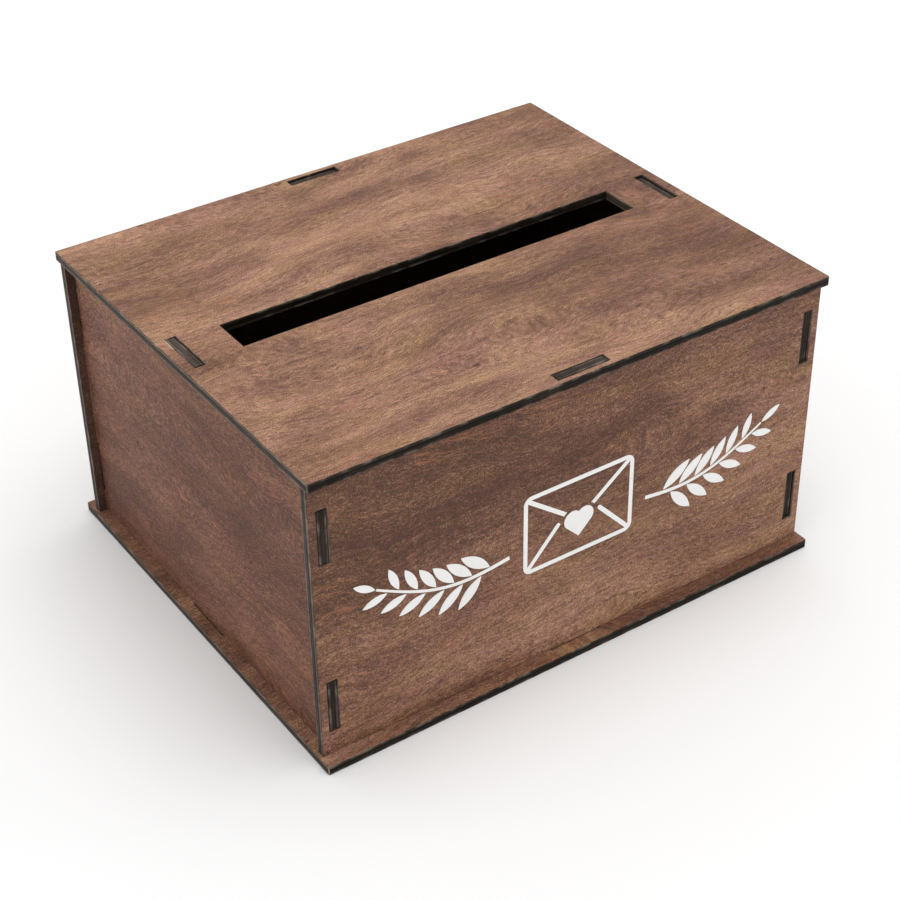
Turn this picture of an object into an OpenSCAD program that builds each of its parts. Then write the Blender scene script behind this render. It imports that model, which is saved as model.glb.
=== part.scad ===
// Wedding card box: six interlocking sheets of plywood, with a card slot in a lid that lifts off.
// The walls stand in mortises cut through the base, and their top tabs pass through the lid.
// Millimetres, +Z up. The origin is the middle of the underside, and the front faces -Y.

/* [Box] */
// Width of the lid, left to right
lid_w = 254; // [250:1:320]
// Depth of the lid, front to back
lid_d = 210; // [180:1:260]
// Height of the box, from the underside of the base to the top of the lid
box_h = 140; // [120:1:180]
// Thickness of every plywood sheet
ply = 4; // [3:0.5:5]
// Radius of the corners of the lid and the base
sheet_corner_r = 1; // [0.5:0.25:4]
// Radius of the corners of the front and back panels
wall_corner_r = 0.8; // [0.4:0.1:2.5]

/* [Overhangs and ledges] */
// How far the lid stands out past the faces of the front and back panels
lid_over_y = 3; // [2:0.5:8]
// How far the lid stands out past the ends of the front and back panels
lid_over_x = 1; // [0.5:0.5:4]
// How far the base stands out past the faces of the front and back panels
base_ledge_y = 6.5; // [4:0.5:12]
// How far the base stands out past the ends of the front and back panels
base_ledge_x = 1.5; // [1:0.5:6]
// From the ends of the front and back panels to the outer faces of the side panels
side_inset = 4.2; // [3:0.2:6]

/* [Tabs and mortises] */
// Length of every tab along its panel's edge
tab_len = 24.4; // [16:0.2:28]
// Gap between the faces of a tab and the long walls of its mortise
gap_side = 0.35; // [0.2:0.05:0.6]
// Gap between the ends of a tab and the short walls of its mortise
gap_end = 0.5; // [0.3:0.05:0.8]
// From the top and bottom edges of the walls to the middles of their corner joints
corner_joint_in = 24.5; // [20:0.5:28]
// How far the tabs of the front and left panels stop below the outside face
flush_drop = 0.1; // [0.05:0.05:0.5]
// How far the tabs of the back and right panels stop below the outside face
short_drop = 1; // [0.3:0.1:1.5]
// How far the bottom tabs stop above the underside of the base
foot_drop = 0.3; // [0.1:0.1:1]
// Where the lid has settled on its tabs, left to right
lid_play_x = 0.25; // [-0.25:0.05:0.25]
// Where the lid has settled on its tabs, front to back
lid_play_y = -0.15; // [-0.15:0.05:0.15]

/* [Card slot] */
// Length of the card slot
slot_len = 197.5; // [180:0.5:205]
// Width of the card slot
slot_w = 19.5; // [12:0.5:26]

/* [Front motif] */
// Thickness of the white film that the motif is cut from
film = 0.2; // [0.1:0.05:0.4]
// Width of the envelope
envelope_w = 56; // [50:1:60]
// Height of the envelope
envelope_h = 39; // [34:1:44]
// Width of the envelope's lines
line_w = 2; // [1.6:0.1:3]
// Width of the heart that seals the envelope
heart_w = 15; // [12:0.5:18]
// Space kept clear round the heart
heart_clear = 1.7; // [1:0.1:2.4]
// From the middle of the panel to the inner end of each sprig
sprig_start = 35; // [33:1:38]
// Length of each sprig's stem
sprig_len = 63; // [50:1:64]
// Leaves on each side of a sprig's stem
leaf_count = 6; // [4:1:7]
// Length of the largest leaf
leaf_len = 18; // [12:0.5:20]
// Width of a leaf over its length
leaf_slim = 0.3; // [0.25:0.01:0.4]

/* [Hidden] */

$fn = 48;

// Walls: the front and back panels run the full width, and the side panels fit between them
wall_w = lid_w - 2 * lid_over_x;
wall_h = box_h - 2 * ply;
outer_d = lid_d - 2 * lid_over_y;
inner_d = outer_d - 2 * ply;
wall_z = ply + wall_h / 2;
side_mid_x = wall_w / 2 - side_inset - ply / 2;
front_mid_y = outer_d / 2 - ply / 2;
corner_joint_z = wall_h / 2 - corner_joint_in;

// Sheets
base_w = wall_w + 2 * base_ledge_x;
base_d = outer_d + 2 * base_ledge_y;

// Mortises
mortise_len = tab_len + 2 * gap_end;
mortise_w = ply + 2 * gap_side;

// Cutters pass this far through what they cut
through = 1;

// Colours
wood = "#8c6a57";
wood_lid = "#a07c67";
white = "#f7f5f0";

// A sheet's outline with true round corners, centred
module round_outline(w, h, r) {
    square([w - 2 * r, h], center = true);
    square([w, h - 2 * r], center = true);
    for (x = [-1, 1], y = [-1, 1])
        translate([x * (w / 2 - r), y * (h / 2 - r)])
            circle(r);
}

// A mortise that takes a tab running along X, centred
module mortise() {
    square([mortise_len, mortise_w], center = true);
}

// The four mortises of the base and of the lid, one near the middle of each edge
module sheet_mortises() {
    for (y = [-1, 1])
        translate([0, y * front_mid_y])
            mortise();
    for (x = [-1, 1])
        translate([x * side_mid_x, 0])
            rotate(90)
                mortise();
}

// A tab that stands up from the origin along +Y, rooted inside its panel
module tab(reach) {
    translate([-tab_len / 2, -through])
        square([tab_len, reach + through]);
}

module base_panel() {
    color(wood)
        linear_extrude(ply)
            difference() {
                round_outline(base_w, base_d, sheet_corner_r);
                sheet_mortises();
            }
}

module lid_panel() {
    color(wood_lid)
        translate([lid_play_x, lid_play_y, box_h - ply])
            linear_extrude(ply)
                difference() {
                    round_outline(lid_w, lid_d, sheet_corner_r);
                    sheet_mortises();
                    square([slot_len, slot_w], center = true);
                }
}

// The front or back panel drawn flat, about its own middle
module end_wall_outline(drop) {
    difference() {
        union() {
            round_outline(wall_w, wall_h, wall_corner_r);
            translate([0, wall_h / 2])
                tab(ply - drop);
            translate([0, -wall_h / 2])
                rotate(180)
                    tab(ply - foot_drop);
        }
        for (x = [-1, 1], z = [-1, 1])
            translate([x * side_mid_x, z * corner_joint_z])
                rotate(90)
                    mortise();
    }
}

// A side panel drawn flat, about its own middle, with two tabs on each upright edge
module side_wall_outline(drop) {
    square([inner_d, wall_h], center = true);
    translate([0, wall_h / 2])
        tab(ply - drop);
    translate([0, -wall_h / 2])
        rotate(180)
            tab(ply - foot_drop);
    for (side = [-1, 1], z = [-1, 1])
        translate([side * inner_d / 2, z * corner_joint_z])
            rotate(-side * 90)
                tab(ply - drop);
}

// Stands a flat outline up facing -Y, with its middle plane at y
module facing_front(y) {
    translate([0, y + ply / 2, wall_z])
        rotate([90, 0, 0])
            linear_extrude(ply)
                children();
}

// Stands a flat outline up facing along X, with its middle plane at x
module facing_side(x) {
    translate([x - ply / 2, 0, wall_z])
        rotate([90, 0, 90])
            linear_extrude(ply)
                children();
}

module front_panel() {
    color(wood)
        facing_front(-front_mid_y)
            end_wall_outline(flush_drop);
}

module back_panel() {
    color(wood)
        facing_front(front_mid_y)
            end_wall_outline(short_drop);
}

module left_panel() {
    color(wood)
        facing_side(-side_mid_x)
            side_wall_outline(flush_drop);
}

module right_panel() {
    color(wood)
        facing_side(side_mid_x)
            side_wall_outline(short_drop);
}

// Lays a flat outline of white film on the face of the front panel
module film_on_front() {
    color(white)
        translate([0, -outer_d / 2, wall_z])
            rotate([90, 0, 0])
                linear_extrude(film)
                    children();
}

// A straight line from a to b with round ends
module stroke(a, b) {
    translate(a)
        rotate(atan2(b.y - a.y, b.x - a.x))
            translate([0, -line_w / 2])
                square([norm(b - a), line_w]);
    for (end = [a, b])
        translate(end)
            circle(line_w / 2);
}

// A heart of the given width with its middle at the origin: a square on its corner and two circles
module heart(w) {
    side = w / (1 + sqrt(1 / 2));
    lobe = side / 2;
    translate([0, -lobe / 2])
        rotate(45) {
            square(side, center = true);
            translate([lobe, 0])
                circle(lobe);
            translate([0, lobe])
                circle(lobe);
        }
}

flap_tip = [0, -envelope_h * 0.06];

module motif_envelope() {
    corner = [envelope_w / 2 - line_w, envelope_h / 2 - line_w];
    film_on_front()
        difference() {
            union() {
                difference() {
                    round_outline(envelope_w, envelope_h, 2 * line_w);
                    round_outline(envelope_w - 2 * line_w, envelope_h - 2 * line_w, line_w);
                }
                for (x = [-1, 1]) {
                    stroke([x * corner.x, corner.y], flap_tip);
                    stroke([x * corner.x, -corner.y], [x * envelope_w * 0.19, envelope_h * -0.02]);
                }
            }
            translate(flap_tip)
                heart(heart_w + 2 * heart_clear);
        }
}

module motif_heart() {
    film_on_front()
        translate(flap_tip)
            heart(heart_w);
}

// The stem dips and then climbs; t runs from 0 at the envelope to 1 at the outer end
stem_dip = 7;
stem_climb = 13;
stem_w = 1.8;
stem_taper = 0.45;
stem_steps = 16;
function stem_at(t) = [sprig_start + sprig_len * t, stem_climb * (t - 0.5) - stem_dip * sin(180 * t)];
function stem_slope(t) = atan2(stem_climb - stem_dip * PI * cos(180 * t), sprig_len);
function stem_half(t) = stem_w / 2 * (1 - stem_taper * t);
function stem_edge(t, side) = stem_at(t) + side * stem_half(t) * [-sin(stem_slope(t)), cos(stem_slope(t))];

// The right-hand stem drawn flat: a band that narrows towards its outer end
module stem_outline() {
    lower = [for (i = [0 : stem_steps]) stem_edge(i / stem_steps, -1)];
    upper = [for (i = [stem_steps : -1 : 0]) stem_edge(i / stem_steps, 1)];
    polygon(concat(lower, upper));
}

// A pointed leaf from the origin along +X: where two equal circles overlap
module leaf(length) {
    w = length * leaf_slim;
    r = (length * length + w * w) / (4 * w);
    intersection_for(side = [-1, 1])
        translate([length / 2, side * (r - w / 2)])
            circle(r, $fn = 96);
}

leaf_first = 0.13;
leaf_span = 0.84;
leaf_spread = 43;
leaf_shrink = 0.38;
leaf_gap = 0.45;

// The right-hand leaves drawn flat: set alternately along the stem and just clear of it, and one past its end
module leaves_outline() {
    for (i = [0 : leaf_count - 1], side = [-1, 1]) {
        t = leaf_first + leaf_span * (i + (side > 0 ? 0 : 0.5)) / leaf_count;
        translate(stem_at(t))
            rotate(stem_slope(t) + side * leaf_spread)
                translate([(stem_half(t) + leaf_gap) / sin(leaf_spread), 0])
                    leaf(leaf_len * (1 - leaf_shrink * t));
    }
    translate(stem_at(1))
        rotate(stem_slope(1))
            translate([leaf_gap, 0])
                leaf(leaf_len * (1 - leaf_shrink));
}

module motif_stem_left() {
    film_on_front()
        mirror([1, 0])
            stem_outline();
}

module motif_stem_right() {
    film_on_front()
        stem_outline();
}

module motif_leaves_left() {
    film_on_front()
        mirror([1, 0])
            leaves_outline();
}

module motif_leaves_right() {
    film_on_front()
        leaves_outline();
}

base_panel();
front_panel();
back_panel();
left_panel();
right_panel();
lid_panel();
motif_envelope();
motif_heart();
motif_stem_left();
motif_stem_right();
motif_leaves_left();
motif_leaves_right();
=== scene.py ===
"""Looks of the wedding card box: six sheets of stained, laser-cut plywood and a motif cut from white film.

Each sheet is built again from the outline of its CAD node, with rounded arrises, grooves at the glue lines
and a scorched rim, so it keeps the CAD's size and place. Lengths are in metres, in the frame's own axes.
"""

import math
from typing import NamedTuple

import bmesh
import bpy
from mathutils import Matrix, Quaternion, Vector, geometry, noise


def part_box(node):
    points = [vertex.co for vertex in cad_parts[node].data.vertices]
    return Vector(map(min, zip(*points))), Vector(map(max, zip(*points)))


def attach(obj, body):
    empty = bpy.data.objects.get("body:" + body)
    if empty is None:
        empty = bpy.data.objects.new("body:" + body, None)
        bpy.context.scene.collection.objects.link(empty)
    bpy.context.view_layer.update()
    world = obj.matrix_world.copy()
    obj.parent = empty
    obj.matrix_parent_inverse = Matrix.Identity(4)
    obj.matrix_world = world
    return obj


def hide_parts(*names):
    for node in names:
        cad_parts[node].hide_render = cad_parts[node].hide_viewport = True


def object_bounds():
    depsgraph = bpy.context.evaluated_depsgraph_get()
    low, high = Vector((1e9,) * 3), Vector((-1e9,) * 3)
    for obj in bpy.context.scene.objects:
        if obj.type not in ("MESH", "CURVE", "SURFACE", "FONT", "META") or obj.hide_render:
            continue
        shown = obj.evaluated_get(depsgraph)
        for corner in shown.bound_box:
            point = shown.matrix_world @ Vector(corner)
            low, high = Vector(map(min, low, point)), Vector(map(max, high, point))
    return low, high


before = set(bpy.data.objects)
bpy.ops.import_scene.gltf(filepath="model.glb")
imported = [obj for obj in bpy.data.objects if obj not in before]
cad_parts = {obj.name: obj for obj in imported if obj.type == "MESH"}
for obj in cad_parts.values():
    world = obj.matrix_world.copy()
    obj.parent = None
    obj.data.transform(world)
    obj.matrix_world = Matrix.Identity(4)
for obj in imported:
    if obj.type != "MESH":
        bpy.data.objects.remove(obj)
cad_low, cad_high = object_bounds()

MM = 0.001
X, Y, Z = 0, 1, 2


# ---------------------------------------------------------------------------------------------------------
# Sheets of plywood
# ---------------------------------------------------------------------------------------------------------

FACING = 0.99  # a face whose normal reaches this along an axis faces that way
SAME_POINT = 0.001 * MM  # corners of the CAD mesh closer than this are one
STRAIGHT = 0.01  # sine of the turn up to which an outline counts as straight
CORNER = 0.7  # sine of the turn past which its point is a corner that sticks out
SMOOTH_UP_TO = math.radians(40)  # sharper edges of a sheet are shaded as edges
LAYERS = 3  # veneers in a sheet
OUTLINE_STEP = 2.5 * MM  # longest stretch of outline between two points
ARRIS = 0.24 * MM  # usual radius of the worn arris between a face and a cut edge
ARRIS_STEPS = 3
ARRIS_UNEVENNESS = 0.45  # share by which that radius varies
CORNER_ARRIS = 1.5  # times as large at corners that stick out
GROOVE_DEPTH = 0.05 * MM  # where the laser eats the glue line back
GROOVE_HALF_WIDTH = 0.10 * MM
EDGE_WAVE = 0.035 * MM  # how far the cut edge wanders, always into the sheet
RIM_WIDTH = 0.75 * MM  # how far the scorch reaches in from a cut edge: less than the sheets' corner radii
RIM_CORE = 0.38 * MM  # where the scorch is still strong
TOUCHING = 0.000001 * MM  # points closer than this are one when a face is filled
CORNER_REACH = (0.15 * MM, 0.7 * MM)  # a corner is fully paled within the first, and not past the second
CORNER_WEAR_AND_HIGHLIGHT = 3.0  # how much paler corners are drawn than an arris, with wear and a painted highlight


def thickness_axis(node):
    """The axis along which a sheet is thinnest."""
    low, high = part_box(node)
    return min((X, Y, Z), key=lambda axis: high[axis] - low[axis])


def outline_loops(node, axis):
    """The closed outlines of a sheet's face as lists of 2D points, with the material on the left."""
    across, up = (axis + 1) % 3, (axis + 2) % 3
    mesh = bmesh.new()
    mesh.from_mesh(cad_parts[node].data)
    bmesh.ops.remove_doubles(mesh, verts=mesh.verts, dist=SAME_POINT)
    after = {}
    for face in mesh.faces:
        if face.normal[axis] < FACING:
            continue
        for corner in face.loops:
            if all(other.normal[axis] < FACING for other in corner.edge.link_faces if other is not face):
                after[corner.vert] = corner.link_loop_next.vert
    loops = []
    while after:
        vertex = next(iter(after))
        loop = []
        while vertex in after:
            loop.append(Vector((vertex.co[across], vertex.co[up])))
            vertex = after.pop(vertex)
        loops.append(loop)
    mesh.free()
    return loops


def turn_at(before, here, after):
    """The sine of the turn that an outline makes at a point: above 0 where the corner sticks out."""
    arriving, leaving = (here - before).normalized(), (after - here).normalized()
    return arriving.x * leaving.y - arriving.y * leaving.x


def evenly_stepped(loop):
    """The outline with points along one straight line dropped, and then set OUTLINE_STEP apart or less."""
    count = len(loop)
    turns = [turn_at(loop[i - 1], loop[i], loop[(i + 1) % count]) for i in range(count)]
    corners = [point for point, turn in zip(loop, turns) if abs(turn) > STRAIGHT]
    points = []
    for i, start in enumerate(corners):
        end = corners[(i + 1) % len(corners)]
        steps = max(1, math.ceil((end - start).length / OUTLINE_STEP))
        points += [start.lerp(end, k / steps) for k in range(steps)]
    return points


def inward(loop):
    """For each point of an outline, the way into the sheet that keeps an offset parallel to both sides."""
    ways = []
    for i, here in enumerate(loop):
        arriving = (here - loop[i - 1]).normalized()
        leaving = (loop[(i + 1) % len(loop)] - here).normalized()
        first, second = Vector((-arriving.y, arriving.x)), Vector((-leaving.y, leaving.x))
        ways.append((first + second) / (1 + first.dot(second)))
    return ways


def edge_profile(thickness):
    """The rings of a cut edge, from one face to the other, as (depth, inset, rim, arris) at the usual wear.

    Depth and inset in the arris are in units of its radius and come as a pair with the face they belong to.
    """
    face_side = [("face", 0.0, RIM_WIDTH, 0.0), ("face", 0.0, RIM_CORE, 0.6)]
    arris = []
    for k in range(ARRIS_STEPS + 1):
        angle = math.pi / 2 * k / ARRIS_STEPS
        arris.append(("arris", 1 - math.cos(angle), 1 - math.sin(angle), 1.0))
    grooves = []
    for layer in range(1, LAYERS):
        middle = thickness * layer / LAYERS
        grooves += [
            ("wall", middle - GROOVE_HALF_WIDTH, 0.0, 1.0),
            ("wall", middle, GROOVE_DEPTH, 1.0),
            ("wall", middle + GROOVE_HALF_WIDTH, 0.0, 1.0),
        ]
    near = [(kind, depth, inset, rim, False) for kind, depth, inset, rim in face_side + arris]
    far = [(kind, depth, inset, rim, True) for kind, depth, inset, rim in reversed(face_side + arris)]
    return near + [(kind, depth, inset, rim, False) for kind, depth, inset, rim in grooves] + far


def arris_radius(place, is_corner):
    """The radius of the arris there: worn unevenly along the edge, and more at corners that stick out."""
    uneven = noise.noise(place / (9 * MM)) + 0.6 * noise.noise(place / (2.6 * MM))
    radius = ARRIS * (1.0 + ARRIS_UNEVENNESS * uneven)
    return radius * CORNER_ARRIS if is_corner else radius


def corner_closeness(point, low, high):
    """1 at a corner of the sheet's own rectangle, falling to 0 a little way along its edges."""
    nearest = Vector((min(point.x - low.x, high.x - point.x), min(point.y - low.y, high.y - point.y)))
    full, none = CORNER_REACH
    return min(1.0, max(0.0, (none - nearest.length) / (none - full)))


def ring_point(ring, thickness, radius, wave):
    """Depth below the face and inset from the outline for one point of a ring."""
    kind, depth, inset, _, is_far = ring
    if kind == "arris":
        depth, inset = depth * radius, inset * radius + wave
    elif kind == "wall":
        inset += wave
    return (thickness - depth if is_far else depth), inset


def filled(outlines):
    """Triangles that fill the sheet's own outline and spare its holes, as indices into all the points."""
    points, rings = [], []
    for outline in outlines:
        ring = list(range(len(points), len(points) + len(outline)))
        doubled_area = sum(outline[i - 1].cross(point) for i, point in enumerate(outline))
        if doubled_area > 0:
            outer = len(rings)
            rings.append(ring)
        else:
            rings.append(ring[::-1])
        points += outline
    _, _, triangles, origins, _, sources = geometry.delaunay_2d_cdt(points, [], rings, 0, TOUCHING, True)
    kept = [triangle for triangle, inside in zip(triangles, sources) if inside == [outer]]
    return [[origins[i][0] for i in triangle] for triangle in kept]


def build_sheet(node, body, pale_at=None):
    """A detailed sheet in place of the CAD node, with its faces in material slot 0 and edges in slot 1."""
    axis = thickness_axis(node)
    across, up = (axis + 1) % 3, (axis + 2) % 3
    low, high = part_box(node)
    thickness = high[axis] - low[axis]
    rings = edge_profile(thickness)
    last = len(rings) - 1
    flat_low, flat_high = Vector((low[across], low[up])), Vector((high[across], high[up]))
    vertices, faces, slots, values = [], [], [], []
    caps = {0: [], last: []}
    for loop in (evenly_stepped(loop) for loop in outline_loops(node, axis)):
        ways = inward(loop)
        count = len(loop)
        first = len(vertices)
        arrises, waves, near_corner = [], [], []
        for i, point in enumerate(loop):
            near_corner.append(corner_closeness(point, flat_low, flat_high))
            place = Vector((point.x, point.y, low[axis]))
            is_corner = turn_at(loop[i - 1], point, loop[(i + 1) % count]) > CORNER
            arrises.append(arris_radius(place, is_corner))
            waves.append(EDGE_WAVE * (0.5 + 0.5 * noise.noise(place / (4 * MM))))
        for ring in rings:
            for i, point in enumerate(loop):
                depth, inset = ring_point(ring, thickness, arrises[i], waves[i])
                flat = point + ways[i] * inset
                place = Vector((0, 0, 0))
                place[axis], place[across], place[up] = high[axis] - depth, flat.x, flat.y
                vertices.append(place)
                # How pale the point is drawn: 1 along the arris, for wear and a painted highlight, and more at
                # corners.
                wear_and_highlight = max(1.0 if ring[0] == "arris" else 0.0, CORNER_WEAR_AND_HIGHLIGHT * near_corner[i])
                pale = pale_at(place) if pale_at else 0.0
                values.append((ring[3], depth / thickness, wear_and_highlight, pale))
        for k in range(last):
            is_face = rings[k][0] == "face" or rings[k + 1][0] == "face"
            for i in range(count):
                j = (i + 1) % count
                a, b = first + k * count, first + (k + 1) * count
                faces.append((a + i, b + i, b + j, a + j))
                slots.append(0 if is_face else 1)
        for k in caps:
            caps[k].append(range(first + k * count, first + (k + 1) * count))
    for k, outlines in caps.items():
        order = [index for outline in outlines for index in outline]
        flat = [[Vector((vertices[i][across], vertices[i][up])) for i in outline] for outline in outlines]
        for a, b, c in filled(flat):
            a, b, c = order[a], order[b], order[c]
            normal = (vertices[b] - vertices[a]).cross(vertices[c] - vertices[a])[axis]
            faces.append((a, b, c) if (normal > 0) == (k == 0) else (a, c, b))
            slots.append(0)
    mesh = bpy.data.meshes.new(node + "_sheet")
    mesh.from_pydata(vertices, [], faces)
    for name, column in (("rim", 0), ("depth", 1), ("wear_and_highlight", 2), ("pale", 3)):
        layer = mesh.attributes.new(name, "FLOAT", "POINT")
        layer.data.foreach_set("value", [row[column] for row in values])
    mesh.polygons.foreach_set("material_index", slots)
    mesh.polygons.foreach_set("use_smooth", [True] * len(faces))
    mesh.update()
    mesh.set_sharp_from_angle(angle=SMOOTH_UP_TO)
    piece = bpy.data.objects.new(node + "_sheet", mesh)
    bpy.context.scene.collection.objects.link(piece)
    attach(piece, body)
    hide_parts(node)
    return piece


# ---------------------------------------------------------------------------------------------------------
# Materials
# ---------------------------------------------------------------------------------------------------------


class Shader:
    """One material's node tree, built a node at a time. A value is a number, a tuple or a node's socket."""

    def __init__(self, name):
        self.material = bpy.data.materials.new(name)
        self.material.use_nodes = True
        self.tree = self.material.node_tree
        self.surface = self.tree.nodes["Principled BSDF"]

    def put(self, socket, value):
        if isinstance(value, bpy.types.NodeSocket):
            self.tree.links.new(value, socket)
        else:
            socket.default_value = value

    def add(self, kind, inputs=None, **settings):
        node = self.tree.nodes.new(kind)
        for name, value in settings.items():
            setattr(node, name, value)
        for key, value in (inputs or {}).items():
            self.put(node.inputs[key], value)
        return node

    def math(self, operation, *values):
        return self.add("ShaderNodeMath", dict(enumerate(values)), operation=operation).outputs[0]

    def stepped(self, value, low, high):
        """0 below low, 1 above high, and a smooth rise between them."""
        inputs = {"Value": value, "From Min": low, "From Max": high}
        return self.add("ShaderNodeMapRange", inputs, interpolation_type="SMOOTHSTEP").outputs["Result"]

    def mixed(self, factor, first, second, blend="MIX"):
        node = self.add("ShaderNodeMix", {0: factor}, data_type="RGBA", blend_type=blend)
        self.put(node.inputs[6], first)
        self.put(node.inputs[7], second)
        return node.outputs[2]

    def attribute(self, name):
        return self.add("ShaderNodeAttribute", attribute_name=name).outputs["Fac"]

    def coordinates(self, grain, cross):
        """The piece's own coordinates in millimetres, turned so that X runs along the grain."""
        place = self.add("ShaderNodeTexCoord").outputs["Object"]
        parts = self.add("ShaderNodeSeparateXYZ", {0: place}).outputs
        order = (grain, cross, 3 - grain - cross)
        turned = self.add("ShaderNodeCombineXYZ", {i: parts[axis] for i, axis in enumerate(order)}).outputs[0]
        scale = {0: turned, 1: (1 / MM, 1 / MM, 1 / MM)}
        return self.add("ShaderNodeVectorMath", scale, operation="MULTIPLY").outputs[0]

    def within(self, low, high, soft):
        """1 inside that box in the frame's own axes, falling to 0 over a soft border round it."""
        place = self.add("ShaderNodeTexCoord").outputs["Object"]
        parts = self.add("ShaderNodeSeparateXYZ", {0: place}).outputs
        total = 1.0
        for part, start, end in zip(parts, low, high):
            total = self.math("MULTIPLY", total, self.stepped(part, start - soft, start))
            total = self.math("MULTIPLY", total, self.stepped(part, end + soft, end))
        return total

    def grain(self, vector, along, across, seed, detail=2.0, roughness=0.5):
        """Noise whose blobs are about that long and wide, in millimetres."""
        inputs = {"Vector": vector, "Location": (seed, seed * 1.7, seed * 0.6)}
        inputs["Scale"] = (1 / along, 1 / across, 1 / across)
        place = self.add("ShaderNodeMapping", inputs).outputs[0]
        inputs = {"Vector": place, "Scale": 1.0, "Detail": detail, "Roughness": roughness}
        return self.add("ShaderNodeTexNoise", inputs).outputs[0]

    def weighed(self, *pairs):
        """0.5, plus each value's difference from 0.5 times its weight."""
        total = 0.5
        for value, weight in pairs:
            total = self.math("ADD", self.math("MULTIPLY_ADD", value, weight, -0.5 * weight), total)
        return total

    def ramp(self, factor, stops):
        node = self.add("ShaderNodeValToRGB", {0: factor})
        elements = node.color_ramp.elements
        while len(elements) < len(stops):
            elements.new(0.5)
        for element, (position, colour) in zip(elements, stops):
            element.position = position
            element.color = (*colour, 1)
        return node.outputs[0]

    def finish(self, colour, roughness, height, depth, strength):
        """Ends in the surface shader. Height, from 0 to 1, stands for depth metres of relief."""
        self.put(self.surface.inputs["Base Color"], colour)
        self.put(self.surface.inputs["Roughness"], roughness)
        bump = {"Height": height, "Distance": depth, "Strength": strength}
        self.put(self.surface.inputs["Normal"], self.add("ShaderNodeBump", bump).outputs[0])
        return self.material


# Colours are linear. A ramp's first numbers are places along its factor.
STAIN = (  # from the brown of the dark patches to the warm tan where little stain took
    (0.22, (0.085, 0.040, 0.026)),
    (0.40, (0.170, 0.083, 0.051)),
    (0.56, (0.300, 0.158, 0.097)),
    (0.74, (0.460, 0.265, 0.165)),
)
MAUVE = (1.02, 0.955, 1.15, 1)  # the stain's hue drifts between these two
OCHRE = (0.99, 1.03, 0.83, 1)
PALE_FIBRE = (1.95, 1.92, 1.86, 1)  # how many times lighter a raised fibre can be, which took little stain
PAINTED_SHADE = (0.030, 0.018, 0.015, 1)  # painted shade: the dark brown that stands for the shade inside the box and in the end recesses
RED_STREAK = (0.36, 0.135, 0.07, 1)
SCORCH = (0.06, 0.042, 0.033, 1)
DARK_LINE = (0.10, 0.050, 0.034, 1)
DARK_PORE = (0.065, 0.031, 0.021, 1)
PALE_WOOD = (0.50, 0.40, 0.27, 1)

FIGURE_BEND = 52  # mm by which the figure can wander across the grain
FIBRE_BEND = 2.2  # mm more for single fibres
LINE_PITCH = 5.5  # mm between growth lines
LINE_STRENGTH = 0.6
FLECK_STRENGTH = 0.18
PORE_STRENGTH = (0.55, 0.18)  # inside groups of pores, on top of the second everywhere
RED_STRENGTH = 0.7
RIM_STRENGTH = (0.30, 0.16)  # in patches, on top of the second everywhere
PAINTED_SHADE_STRENGTH = 0.72
PAINTED_SHADE_BORDER = 0.3 * MM
STAIN_RELIEF = (0.07 * MM, 0.6)  # depth of the fibres' relief, and the bump's strength
EDGE_RELIEF = (0.05 * MM, 0.5)
FILM_RELIEF = (0.03 * MM, 0.4)


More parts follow.
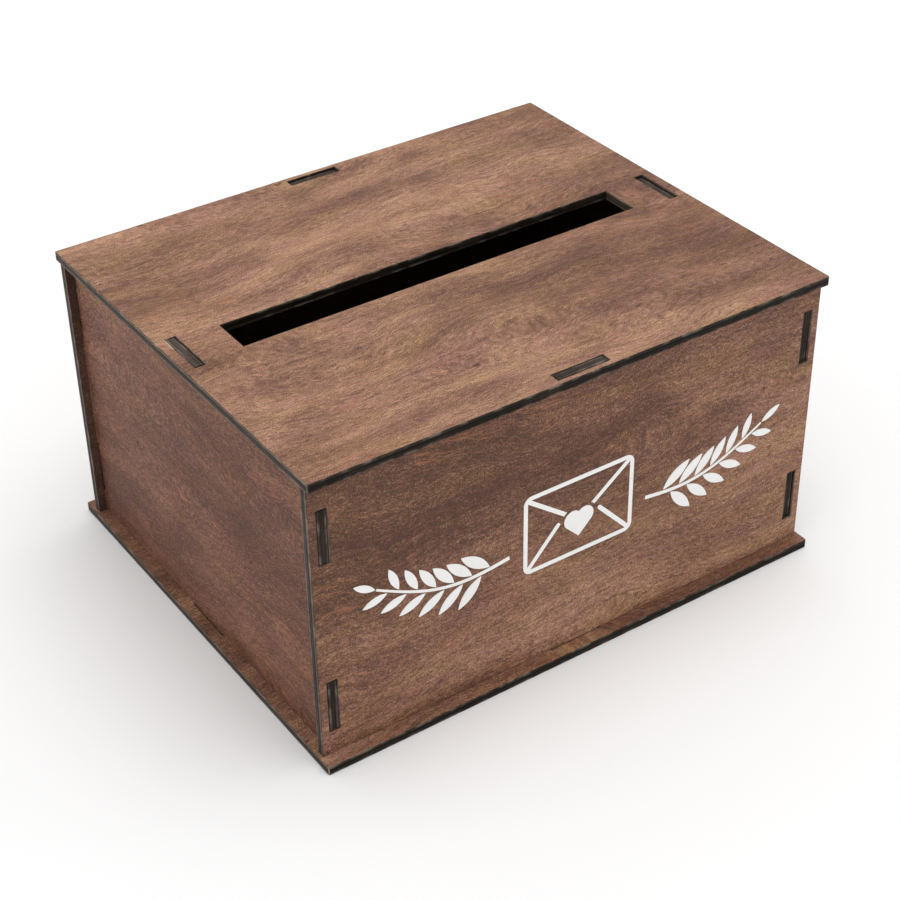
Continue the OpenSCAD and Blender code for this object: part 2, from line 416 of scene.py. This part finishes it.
def stained_face(name, look, shade):
    """Stained veneer: clouds and patches along a wavering figure, with growth lines, fibres and pores, and
    painted shade inside the box and in the end recesses.
    """
    s = Shader(name)
    seed, lean, figured, flecked = look.seed, look.lean, look.figured, look.flecked
    plain = s.coordinates(look.grain, look.cross)
    u, v, w = s.add("ShaderNodeSeparateXYZ", {0: plain}).outputs
    waver = s.grain(plain, 130, 60, seed, detail=2)
    bent = s.math("MULTIPLY_ADD", waver, FIGURE_BEND, v)
    figure = s.add("ShaderNodeCombineXYZ", {0: u, 1: bent, 2: w}).outputs[0]
    wriggle = s.math("MULTIPLY_ADD", s.grain(plain, 5, 3, seed + 2), FIBRE_BEND, bent)
    fine = s.add("ShaderNodeCombineXYZ", {0: u, 1: wriggle, 2: w}).outputs[0]

    broad = s.grain(figure, 170, 50, seed + 61, detail=2)
    clouds = s.grain(figure, 80, 18, seed + 3, detail=3, roughness=0.5)
    patches = s.stepped(s.grain(figure, 46, 11, seed + 5, detail=5, roughness=0.6), 0.40, 0.60)
    blotches = s.grain(plain, 30, 12, seed + 17, detail=4, roughness=0.6)
    streaks = s.grain(fine, 24, 1.8, seed + 7, detail=3, roughness=0.6)
    fleck = s.stepped(s.grain(fine, 2.1, 0.62, seed + 11, detail=1), 0.50, 0.66)
    short_fleck = s.stepped(s.grain(fine, 0.8, 0.6, seed + 13, detail=1), 0.52, 0.68)
    speckle = s.grain(plain, 0.5, 0.5, seed + 23, detail=1)
    mottle = s.grain(fine, 3.0, 0.8, seed + 67, detail=1)
    value = s.weighed(
        (broad, 0.55),
        (clouds, 0.34 * figured),
        (patches, 0.05 * figured),
        (blotches, 0.42 * figured),
        (streaks, 0.26),
        (speckle, 0.58 * flecked),
        (mottle, 0.32 * flecked),
    )
    value = s.math("MULTIPLY_ADD", u, lean[0] / 100, s.math("MULTIPLY_ADD", v, lean[1] / 100, value))
    colour = s.ramp(s.math("ADD", value, shade), STAIN)

    hue = s.weighed((s.grain(figure, 34, 9, seed + 43, detail=5, roughness=0.65), 1.5), (patches, 0.30))
    colour = s.mixed(1.0, colour, s.mixed(hue, MAUVE, OCHRE), "MULTIPLY")
    colour = s.mixed(1.0, colour, (*look.tint, 1), "MULTIPLY")

    rings = s.math("FRACT", s.math("DIVIDE", wriggle, LINE_PITCH))
    line = s.math("SUBTRACT", 1, s.stepped(s.math("PINGPONG", rings, 0.5), 0.02, 0.10))
    shown = s.stepped(s.grain(plain, 38, 22, seed + 51, detail=2), 0.46, 0.60)
    broken = s.stepped(s.grain(fine, 6, 1.5, seed + 53, detail=2), 0.40, 0.55)
    line = s.math("MULTIPLY", s.math("MULTIPLY", line, shown), s.math("MULTIPLY", broken, LINE_STRENGTH))
    colour = s.mixed(line, colour, DARK_LINE)

    for raised in (fleck, short_fleck):
        strength = s.math("MULTIPLY", raised, FLECK_STRENGTH * flecked)
        colour = s.mixed(strength, colour, PALE_FIBRE, "MULTIPLY")

    pores = s.stepped(s.grain(fine, 5.0, 0.6, seed + 29, detail=2), 0.58, 0.70)
    group = s.stepped(s.grain(figure, 40, 7, seed + 57, detail=2), 0.45, 0.60)
    grouped = s.math("MULTIPLY_ADD", group, *PORE_STRENGTH)
    colour = s.mixed(s.math("MULTIPLY", pores, grouped), colour, DARK_PORE)
    red = s.stepped(s.grain(fine, 16, 0.6, seed + 31, detail=2), 0.58, 0.67)
    where = s.stepped(s.grain(plain, 48, 26, seed + 37), 0.49, 0.60)
    red = s.math("MULTIPLY", s.math("MULTIPLY", red, where), RED_STRENGTH)
    colour = s.mixed(red, colour, RED_STREAK)

    patchy = s.stepped(s.grain(plain, 9, 9, seed + 41, detail=3), 0.35, 0.7)
    rim = s.math("POWER", s.attribute("rim"), 1.8)
    scorch = s.math("MULTIPLY", rim, s.math("MULTIPLY_ADD", patchy, *RIM_STRENGTH))
    colour = s.mixed(scorch, colour, SCORCH)
    # Painted shade: the stain is darkened inside the box, seen through the slot, and in the end recesses beside
    # the side panels, where little light reaches.
    for low, high in (INSIDE, LEFT_RECESS, RIGHT_RECESS):
        painted_shade = s.math("MULTIPLY", s.within(low, high, PAINTED_SHADE_BORDER), PAINTED_SHADE_STRENGTH)
        colour = s.mixed(painted_shade, colour, PAINTED_SHADE)
    colour = s.mixed(s.attribute("pale"), colour, PALE_WOOD)

    s.surface.inputs["Specular IOR Level"].default_value = 0.15
    roughness = s.math("MULTIPLY_ADD", streaks, 0.25, 0.46)
    height = s.weighed((fleck, 0.3), (short_fleck, 0.3), (streaks, 0.4), (speckle, 0.5))
    height = s.math("MULTIPLY_ADD", pores, -0.5, height)
    return s.finish(colour, roughness, height, *STAIN_RELIEF)


CHAR = (  # the laser-cut edge, from soot to the browner bands between the glue lines
    (0.34, (0.005, 0.004, 0.003)),
    (0.50, (0.010, 0.0075, 0.0055)),
    (0.66, (0.028, 0.020, 0.015)),
)
ASH_AND_SHEEN = (  # the same across the grain, where the open pores leave it greyer, and on edges that face up; on the end grain it is partly painted sheen, the light that edges facing left catch
    (0.34, (0.017, 0.012, 0.010)),
    (0.50, (0.042, 0.030, 0.024)),
    (0.66, (0.092, 0.069, 0.056)),
)
# Paler colour on the arrises and corners: wear in patches, and a painted highlight along the whole arris.
WORN_AND_HIGHLIT = (0.33, 0.27, 0.22, 1)
WEAR_AND_HIGHLIGHT_STRENGTH = (0.4, 0.06)  # wear in patches, on top of the second everywhere along an arris, which is a painted highlight
END_GRAIN_HIGHLIGHT = 0.24  # painted highlight, on top of both where the arris crosses the grain
DEPTH_STRETCH = 420  # spreads the thickness of a sheet over the noise that draws its veneer lines


def charred_edge(name, grain, axis, seed, ash_and_sheen):
    """A laser-cut edge: veneer lines along it, cut marks across it, end grain paler with ash and painted sheen,
    and an arris rubbed pale in places, with a painted highlight along it.
    """
    s = Shader(name)
    plain = s.coordinates(grain, 3 - grain - axis)
    u, v, _ = s.add("ShaderNodeSeparateXYZ", {0: plain}).outputs
    stretched = s.math("MULTIPLY", s.attribute("depth"), DEPTH_STRETCH)
    banded = s.add("ShaderNodeCombineXYZ", {0: u, 1: v, 2: stretched}).outputs[0]
    lines = s.grain(banded, 60, 60, seed, detail=2.5, roughness=0.6)
    soot = s.grain(plain, 14, 14, seed + 5, detail=3)
    marks = s.grain(s.add("ShaderNodeCombineXYZ", {0: u, 1: v}).outputs[0], 0.35, 0.35, seed + 9, detail=1)
    value = s.weighed((lines, 0.8), (soot, 0.5), (marks, 0.25))
    normal = s.add("ShaderNodeSeparateXYZ", {0: s.add("ShaderNodeTexCoord").outputs["Normal"]}).outputs
    # The end grain is lighter: partly ash, partly painted sheen and light, like that on the edges facing left.
    end_grain = s.math("MULTIPLY", s.stepped(s.math("ABSOLUTE", normal[grain]), 0.35, 0.9), ash_and_sheen)
    upward = s.stepped(normal[Z], 0.5, 0.95)
    colour = s.mixed(s.math("MAXIMUM", end_grain, upward), s.ramp(value, CHAR), s.ramp(value, ASH_AND_SHEEN))
    worn_patches = s.stepped(s.grain(plain, 7, 7, seed + 13, detail=3), 0.45, 0.68)
    # Wear in patches, plus a painted highlight along every arris that is strongest where it crosses the grain.
    share = s.math("MULTIPLY_ADD", end_grain, END_GRAIN_HIGHLIGHT, s.math("MULTIPLY_ADD", worn_patches, *WEAR_AND_HIGHLIGHT_STRENGTH))
    arris_paling = s.math("MULTIPLY", s.attribute("wear_and_highlight"), share)
    colour = s.mixed(arris_paling, colour, WORN_AND_HIGHLIT)
    colour = s.mixed(s.attribute("pale"), colour, PALE_WOOD)
    s.surface.inputs["Specular IOR Level"].default_value = 0.07
    s.surface.inputs["Specular Tint"].default_value = (1, 0.86, 0.74, 1)
    roughness = s.math("MULTIPLY_ADD", soot, 0.3, 0.32)
    return s.finish(colour, roughness, s.weighed((lines, 0.6), (marks, 0.6)), *EDGE_RELIEF)


FILM = (
    (0.3, (0.86, 0.855, 0.84)),
    (0.7, (0.93, 0.925, 0.915)),
)


def white_film(name):
    """Matt white film: barely mottled, with the wood's grain just showing through its surface."""
    s = Shader(name)
    plain = s.coordinates(X, Z)
    mottle = s.grain(plain, 9, 5, 3.0, detail=3)
    telegraphed = s.grain(plain, 12, 0.8, 11.0, detail=3, roughness=0.65)
    fine = s.grain(plain, 0.5, 0.5, 21.0, detail=1)
    colour = s.ramp(s.weighed((mottle, 0.6), (fine, 0.3)), FILM)
    roughness = s.math("MULTIPLY_ADD", mottle, 0.2, 0.4)
    return s.finish(colour, roughness, s.weighed((telegraphed, 0.8), (fine, 0.3)), *FILM_RELIEF)


# ---------------------------------------------------------------------------------------------------------
# The box
# ---------------------------------------------------------------------------------------------------------


def room_between(left, right, above_base):
    """The box from one x to another, from the front panel's inner face to the back's and from base to lid."""
    low = (left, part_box("front_panel")[1].y - 0.2 * MM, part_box("base_panel")[1].z + above_base)
    high = (right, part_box("back_panel")[0].y + 0.2 * MM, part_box("lid_panel")[0].z + 0.2 * MM)
    return low, high


# Boxes where the stain is darkened as painted shade: inside the box, and the recesses where the front and back
# panels reach past the side panels.
INSIDE = room_between(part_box("left_panel")[1].x - 0.2 * MM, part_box("right_panel")[0].x + 0.2 * MM, -0.2 * MM)
LEFT_RECESS = room_between(cad_low.x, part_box("left_panel")[0].x - 0.5 * MM, 0.4 * MM)
RIGHT_RECESS = room_between(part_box("right_panel")[1].x + 0.5 * MM, cad_high.x, 0.4 * MM)


def raw_sliver(place):
    """1 along the sliver of bare wood at the outer side of the lid's left mortise, and 0 elsewhere."""
    low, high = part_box("left_panel")
    middle = (low.y + high.y) / 2
    beside_tab = low.x - 0.8 * MM < place.x < low.x + 0.1 * MM
    along_it = middle + 5 * MM < place.y < middle + 12.6 * MM
    at_top = place.z > cad_high.z - 0.6 * MM
    return 1.0 if beside_tab and along_it and at_top else 0.0


class Look(NamedTuple):
    """How one sheet is stained and cut."""

    body: str
    grain: int  # the axis along its grain
    cross: int  # the axis across its grain
    seed: float
    shade: float  # above 0 where it is lighter: its stain, and painted shade that sets the sheets below the lid darker for the lesser light on their upright faces
    tint: tuple
    lean: tuple  # how much lighter it gets in 100 mm along the grain and across it
    figured: float  # how strong its figure is
    flecked: float  # how strong its flecks are
    ash_and_sheen: float  # how pale its end grain is: part ash, part painted sheen


# The sheets below the lid are set darker than it, partly as painted shade for the lesser light that falls on
# upright faces.
SHEETS = {
    "lid_panel": Look("lid", X, Y, 96.9, -0.01, (1.0, 1.025, 1.06), (-0.04, 0.0), 0.85, 1.15, 1.0),
    "base_panel": Look("box", X, Y, 9.0, -0.07, (1.0, 1.01, 1.03), (0.0, 0.0), 0.8, 1.25, 1.0),
    # The front panel's lean is partly painted light: darker towards the top, under the lid's overhang, and
    # lighter towards the bottom, near the floor's bounce light; lighter to the right as well.
    "front_panel": Look("box", X, Z, 124.5, -0.085, (1.0, 1.015, 1.06), (0.05, -0.10), 0.65, 1.25, 1.0),
    "back_panel": Look("box", X, Z, 24.0, -0.08, (1.0, 1.01, 1.03), (0.0, 0.0), 0.8, 1.25, 1.0),
    "left_panel": Look("box", Y, Z, 76.8, -0.14, (1.0, 0.93, 1.0), (0.0, 0.0), 0.7, 1.4, 0.25),
    "right_panel": Look("box", Y, Z, 41.0, -0.10, (1.0, 0.96, 1.02), (0.0, 0.0), 0.8, 1.25, 0.25),
}


def shade_at_origin(node, look):
    """The sheet's shade, moved from its middle to the frame's origin, where its lean starts."""
    low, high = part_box(node)
    along, across = (low + high)[look.grain], (low + high)[look.cross]
    return look.shade - (look.lean[0] * along + look.lean[1] * across) / (200 * MM)


for sheet_name, look in SHEETS.items():
    sheet = build_sheet(sheet_name, look.body, raw_sliver if sheet_name == "lid_panel" else None)
    stain = stained_face(sheet_name + "_stain", look, shade_at_origin(sheet_name, look))
    edge = charred_edge(sheet_name + "_edge", look.grain, thickness_axis(sheet_name), look.seed, look.ash_and_sheen)
    sheet.data.materials.append(stain)
    sheet.data.materials.append(edge)

FILM_ARRIS = 0.05 * MM
film = white_film("white_film")
for motif_name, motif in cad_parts.items():
    if motif_name.startswith("motif_"):
        motif.data.materials.clear()
        motif.data.materials.append(film)
        bevel = motif.modifiers.new("soft_arris", "BEVEL")
        bevel.width = FILM_ARRIS
        bevel.segments = 2


# ---------------------------------------------------------------------------------------------------------
# Floor, lights and camera
# ---------------------------------------------------------------------------------------------------------

FLOOR_HALF = 8.0
FLOOR_DROP = 0.1 * MM  # keeps the floor just clear of the underside
SKY_STRENGTH = 0.8
KEY_PLACE = (0.3, -0.2, 3.0)  # from the middle of the box
KEY_SIZE = 2.4
KEY_WATTS = 40


def add_floor():
    mesh = bpy.data.meshes.new("floor")
    signs = ((-1, -1), (1, -1), (1, 1), (-1, 1))
    corners = [(x * FLOOR_HALF, y * FLOOR_HALF, cad_low.z - FLOOR_DROP) for x, y in signs]
    mesh.from_pydata(corners, [], [(0, 1, 2, 3)])
    floor = bpy.data.objects.new("floor", mesh)
    bpy.context.scene.collection.objects.link(floor)
    s = Shader("floor_paper")
    s.surface.inputs["Base Color"].default_value = (0.93, 0.93, 0.93, 1)
    s.surface.inputs["Roughness"].default_value = 0.9
    s.surface.inputs["Specular IOR Level"].default_value = 0.1
    mesh.materials.append(s.material)


def add_softbox(name, place, size, watts):
    """A square area light that faces the middle of the box."""
    light = bpy.data.lights.new(name, "AREA")
    light.shape = "SQUARE"
    light.size = size
    light.energy = watts
    lamp = bpy.data.objects.new(name, light)
    lamp.location = middle + Vector(place)
    lamp.rotation_mode = "QUATERNION"
    lamp.rotation_quaternion = (-Vector(place)).to_track_quat("-Z", "Y")
    bpy.context.scene.collection.objects.link(lamp)


def add_sky(strength):
    world = bpy.data.worlds.new("studio")
    world.use_nodes = True
    world.node_tree.nodes["Background"].inputs["Color"].default_value = (1, 1, 1, 1)
    world.node_tree.nodes["Background"].inputs["Strength"].default_value = strength
    bpy.context.scene.world = world


VIEW_AZIMUTH = math.radians(-33.96)
VIEW_ELEVATION = math.radians(35.01)
VIEW_ROLL = math.radians(0.94)
VIEW_DISTANCE = 0.869
VIEW_TARGET = Vector((-0.0005, -0.0095, -0.0205))  # from the middle of the box
LENS_MM = 77.94
SENSOR_MM = 36.0


def add_camera():
    back = Vector((
        math.sin(VIEW_AZIMUTH) * math.cos(VIEW_ELEVATION),
        -math.cos(VIEW_AZIMUTH) * math.cos(VIEW_ELEVATION),
        math.sin(VIEW_ELEVATION),
    ))
    data = bpy.data.cameras.new("camera")
    data.lens = LENS_MM
    data.sensor_width = SENSOR_MM
    data.clip_start = 0.01
    data.clip_end = 50
    camera = bpy.data.objects.new("camera", data)
    camera.location = middle + VIEW_TARGET + back * VIEW_DISTANCE
    camera.rotation_mode = "QUATERNION"
    camera.rotation_quaternion = Quaternion(-back, VIEW_ROLL) @ (-back).to_track_quat("-Z", "Y")
    bpy.context.scene.collection.objects.link(camera)
    bpy.context.scene.camera = camera


middle = (cad_low + cad_high) / 2
add_floor()
add_sky(SKY_STRENGTH)
add_softbox("key_softbox", KEY_PLACE, KEY_SIZE, KEY_WATTS)
add_camera()
bpy.context.scene.view_settings.view_transform = "Standard"
